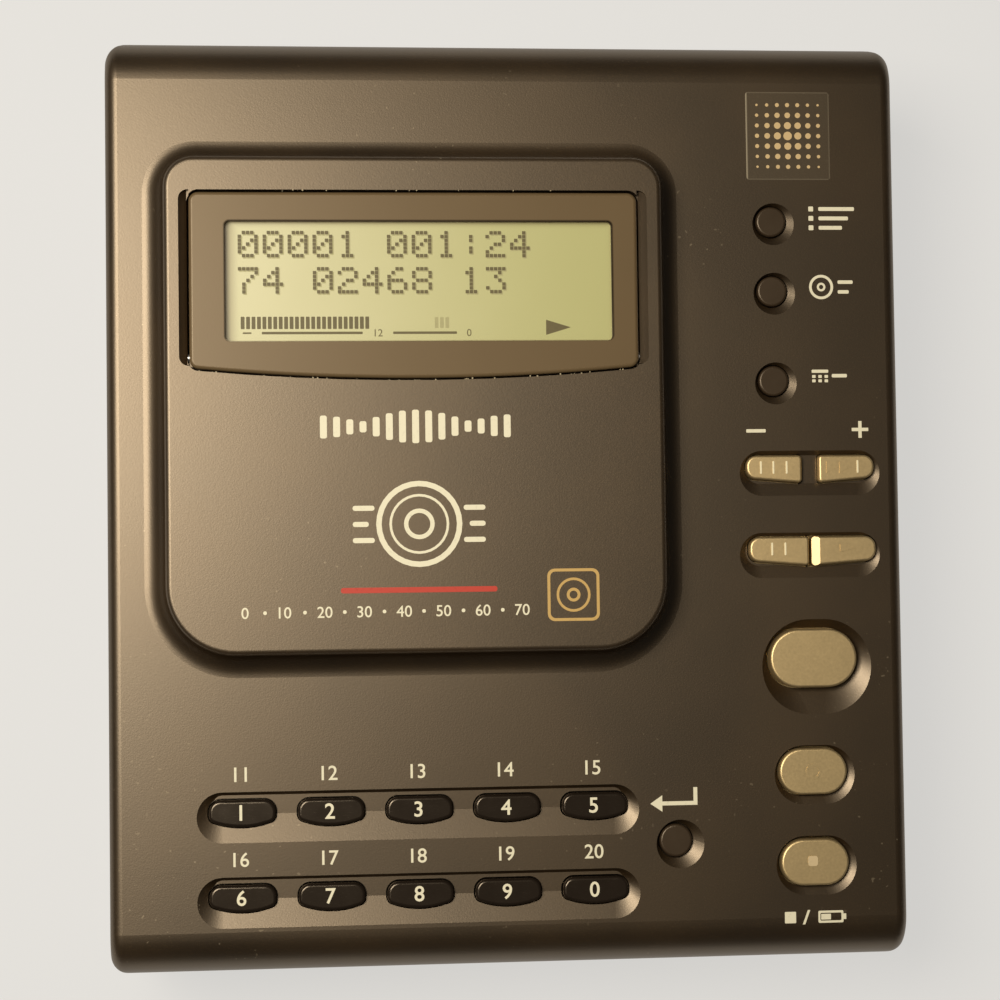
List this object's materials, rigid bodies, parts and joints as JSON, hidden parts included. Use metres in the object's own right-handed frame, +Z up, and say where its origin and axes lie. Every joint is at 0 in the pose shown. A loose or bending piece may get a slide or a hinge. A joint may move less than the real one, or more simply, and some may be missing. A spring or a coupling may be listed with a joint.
{
  "type": "portable disc recorder",
  "caption": "Flat portable disc recorder with a raised square disc housing, a tilting display, number keys and a column of playback keys.",
  "frame": {"origin": "middle of the footprint, on the plane the feet stand on", "axes": "+Z up, the front edge with the number keys towards -Y, +X to the right"},
  "size_m": [0.112, 0.1306, 0.043],
  "materials": {
    "case_top": "satin charcoal paint with a fine grain",
    "case_bottom": "satin charcoal moulding with a fine grain",
    "door": "satin charcoal moulding",
    "bezel": "satin charcoal moulding",
    "window": "clear acrylic with a painted border",
    "lcd": "yellow-green liquid crystal cell",
    "gloss_key": "glossy near-black key with a pale digit",
    "round_key": "semi-gloss dark key",
    "metal_key": "champagne metallised key, satin",
    "dome_rubber": "grey silicone",
    "circuit_board": "green lacquered board",
    "chip": "black moulded chip",
    "sheet_steel": "zinc-plated sheet",
    "steel": "turned steel",
    "black_rubber": "matt rubber",
    "foot_rubber": "matt rubber foot",
    "motor_can": "plated motor can",
    "pickup_plastic": "glass-filled plastic",
    "cartridge": "smoky moulded cartridge",
    "shutter": "bare aluminium sheet",
    "disc": "reflective disc",
    "felt": "black felt",
    "battery": "shrink-wrapped cells in a moulded pack",
    "contact": "plated spring contact",
    "jack_plastic": "black moulded socket",
    "control": "semi-gloss dark control"
  },
  "bodies": {
    "case": {"top_cover": "case_top", "bottom_cover": "case_bottom", "key_domes": "dome_rubber", "key_board": "circuit_board", "main_board": "circuit_board", "board_chips": "chip", "mechanism_frame": "sheet_steel", "loading_motor": "motor_can", "loading_belt": "black_rubber", "disc_guide": "sheet_steel", "slot_lips": "felt", "battery_pack": "battery", "battery_contacts": "contact", "audio_jacks": "jack_plastic", "dc_inlet": "jack_plastic", "feet": "foot_rubber", "case_screws": "steel"},
    "display_panel": {"display_bezel": "bezel", "display_window": "window", "lcd_panel": "lcd", "display_back": "bezel", "display_hinge_pins": "steel"},
    "door_leaf": {"battery_door": "door"},
    "lift_deck": {"mechanism_chassis": "sheet_steel", "spindle_motor": "motor_can", "guide_rods": "steel", "sled_motor": "motor_can"},
    "spindle": {"turntable": "pickup_plastic"},
    "pickup_sled": {"optical_pickup": "pickup_plastic", "recording_head_arm": "steel"},
    "screw": {"lead_screw": "steel"},
    "cartridge": {"cartridge_shell": "cartridge"},
    "shutter": {"cartridge_shutter": "shutter"},
    "disc": {"disc_platter": "disc"},
    "roller": {"roller_shaft": "steel", "loading_roller": "black_rubber"},
    "volume": {"volume_wheel": "control"},
    "hold": {"hold_switch": "control"},
    "eject": {"eject_button": "control"},
    "digit_1_cap": {"number_key_1": "gloss_key"},
    "digit_2_cap": {"number_key_2": "gloss_key"},
    "digit_3_cap": {"number_key_3": "gloss_key"},
    "digit_4_cap": {"number_key_4": "gloss_key"},
    "digit_5_cap": {"number_key_5": "gloss_key"},
    "digit_6_cap": {"number_key_6": "gloss_key"},
    "digit_7_cap": {"number_key_7": "gloss_key"},
    "digit_8_cap": {"number_key_8": "gloss_key"},
    "digit_9_cap": {"number_key_9": "gloss_key"},
    "digit_0_cap": {"number_key_0": "gloss_key"},
    "track_cap": {"track_key": "round_key"},
    "disc_cap": {"disc_key": "round_key"},
    "date_cap": {"date_key": "round_key"},
    "enter_cap": {"enter_key": "round_key"},
    "minus_cap": {"minus_key": "metal_key"},
    "plus_cap": {"plus_key": "metal_key"},
    "pause_cap": {"pause_key": "metal_key"},
    "search_cap": {"search_key": "metal_key"},
    "play_cap": {"play_key": "metal_key"},
    "record_cap": {"record_key": "metal_key"},
    "stop_cap": {"stop_key": "metal_key"}
  },
  "joints": [
    {"name": "display_tilt", "type": "hinge", "parent": "case", "child": "display_panel", "pos_m": [-0.01335, 0.0196, 0.04125], "axis": [1, 0, 0], "range_deg": [0, 45]},
    {"name": "battery_door_hinge", "type": "hinge", "parent": "case", "child": "door_leaf", "pos_m": [0.0552, -0.0286, 0.0118], "axis": [0, 0, 1], "range_deg": [0, 95]},
    {"name": "deck_lift", "type": "slide", "parent": "case", "child": "lift_deck", "axis": [0, 0, 1], "range_m": [0, 0.0016]},
    {"name": "spindle_spin", "type": "hinge", "parent": "lift_deck", "child": "spindle", "pos_m": [-0.018, 0.0131, 0.022], "axis": [0, 0, 1], "continuous": true},
    {"name": "pickup_travel", "type": "slide", "parent": "lift_deck", "child": "pickup_sled", "axis": [0, -1, 0], "range_m": [0, 0.015]},
    {"name": "lead_screw_turn", "type": "hinge", "parent": "lift_deck", "child": "screw", "pos_m": [-0.033, -0.008, 0.0216], "axis": [0, 1, 0], "range_deg": [0, 3600]},
    {"name": "cartridge_eject", "type": "slide", "parent": "case", "child": "cartridge", "axis": [-1, 0, 0], "range_m": [0, 0.058]},
    {"name": "shutter_close", "type": "slide", "parent": "cartridge", "child": "shutter", "axis": [1, 0, 0], "range_m": [0, 0.018]},
    {"name": "disc_spin", "type": "hinge", "parent": "cartridge", "child": "disc", "pos_m": [-0.018, 0.0131, 0.028], "axis": [0, 0, 1], "continuous": true},
    {"name": "loading_roller_turn", "type": "hinge", "parent": "case", "child": "roller", "pos_m": [-0.048, 0.0131, 0.0227], "axis": [0, 1, 0], "range_deg": [0, 1110]},
    {"name": "volume_turn", "type": "hinge", "parent": "case", "child": "volume", "pos_m": [0.0487, 0.038, 0.021], "axis": [0, 0, 1], "range_deg": [0, 280]},
    {"name": "hold_slide", "type": "slide", "parent": "case", "child": "hold", "axis": [0, 1, 0], "range_m": [0, 0.003]},
    {"name": "eject_press", "type": "slide", "parent": "case", "child": "eject", "axis": [1, 0, 0], "range_m": [0, 0.0009], "stiffness_N_per_m": 400},
    {"name": "digit_1_press", "type": "slide", "parent": "case", "child": "digit_1_cap", "axis": [0, 0, -1], "range_m": [0, 0.0007], "stiffness_N_per_m": 400},
    {"name": "digit_2_press", "type": "slide", "parent": "case", "child": "digit_2_cap", "axis": [0, 0, -1], "range_m": [0, 0.0007], "stiffness_N_per_m": 400},
    {"name": "digit_3_press", "type": "slide", "parent": "case", "child": "digit_3_cap", "axis": [0, 0, -1], "range_m": [0, 0.0007], "stiffness_N_per_m": 400},
    {"name": "digit_4_press", "type": "slide", "parent": "case", "child": "digit_4_cap", "axis": [0, 0, -1], "range_m": [0, 0.0007], "stiffness_N_per_m": 400},
    {"name": "digit_5_press", "type": "slide", "parent": "case", "child": "digit_5_cap", "axis": [0, 0, -1], "range_m": [0, 0.0007], "stiffness_N_per_m": 400},
    {"name": "digit_6_press", "type": "slide", "parent": "case", "child": "digit_6_cap", "axis": [0, 0, -1], "range_m": [0, 0.0007], "stiffness_N_per_m": 400},
    {"name": "digit_7_press", "type": "slide", "parent": "case", "child": "digit_7_cap", "axis": [0, 0, -1], "range_m": [0, 0.0007], "stiffness_N_per_m": 400},
    {"name": "digit_8_press", "type": "slide", "parent": "case", "child": "digit_8_cap", "axis": [0, 0, -1], "range_m": [0, 0.0007], "stiffness_N_per_m": 400},
    {"name": "digit_9_press", "type": "slide", "parent": "case", "child": "digit_9_cap", "axis": [0, 0, -1], "range_m": [0, 0.0007], "stiffness_N_per_m": 400},
    {"name": "digit_0_press", "type": "slide", "parent": "case", "child": "digit_0_cap", "axis": [0, 0, -1], "range_m": [0, 0.0007], "stiffness_N_per_m": 400},
    {"name": "track_press", "type": "slide", "parent": "case", "child": "track_cap", "axis": [0, 0, -1], "range_m": [0, 0.0007], "stiffness_N_per_m": 400},
    {"name": "disc_press", "type": "slide", "parent": "case", "child": "disc_cap", "axis": [0, 0, -1], "range_m": [0, 0.0007], "stiffness_N_per_m": 400},
    {"name": "date_press", "type": "slide", "parent": "case", "child": "date_cap", "axis": [0, 0, -1], "range_m": [0, 0.0007], "stiffness_N_per_m": 400},
    {"name": "enter_press", "type": "slide", "parent": "case", "child": "enter_cap", "axis": [0, 0, -1], "range_m": [0, 0.0007], "stiffness_N_per_m": 400},
    {"name": "minus_press", "type": "slide", "parent": "case", "child": "minus_cap", "axis": [0, 0, -1], "range_m": [0, 0.0007], "stiffness_N_per_m": 400},
    {"name": "plus_press", "type": "slide", "parent": "case", "child": "plus_cap", "axis": [0, 0, -1], "range_m": [0, 0.0007], "stiffness_N_per_m": 400},
    {"name": "pause_press", "type": "slide", "parent": "case", "child": "pause_cap", "axis": [0, 0, -1], "range_m": [0, 0.0007], "stiffness_N_per_m": 400},
    {"name": "search_press", "type": "slide", "parent": "case", "child": "search_cap", "axis": [0, 0, -1], "range_m": [0, 0.0007], "stiffness_N_per_m": 400},
    {"name": "play_press", "type": "slide", "parent": "case", "child": "play_cap", "axis": [0, 0, -1], "range_m": [0, 0.0007], "stiffness_N_per_m": 400},
    {"name": "record_press", "type": "slide", "parent": "case", "child": "record_cap", "axis": [0, 0, -1], "range_m": [0, 0.0007], "stiffness_N_per_m": 400},
    {"name": "stop_press", "type": "slide", "parent": "case", "child": "stop_cap", "axis": [0, 0, -1], "range_m": [0, 0.0007], "stiffness_N_per_m": 400}
  ],
  "couplings": [
    {"joint": "spindle_spin", "follows": "disc_spin", "ratio": 1},
    {"joint": "lead_screw_turn", "follows": "pickup_travel", "rad_per_m": 4188.8},
    {"joint": "loading_roller_turn", "follows": "cartridge_eject", "rad_per_m": 333.33}
  ]
}
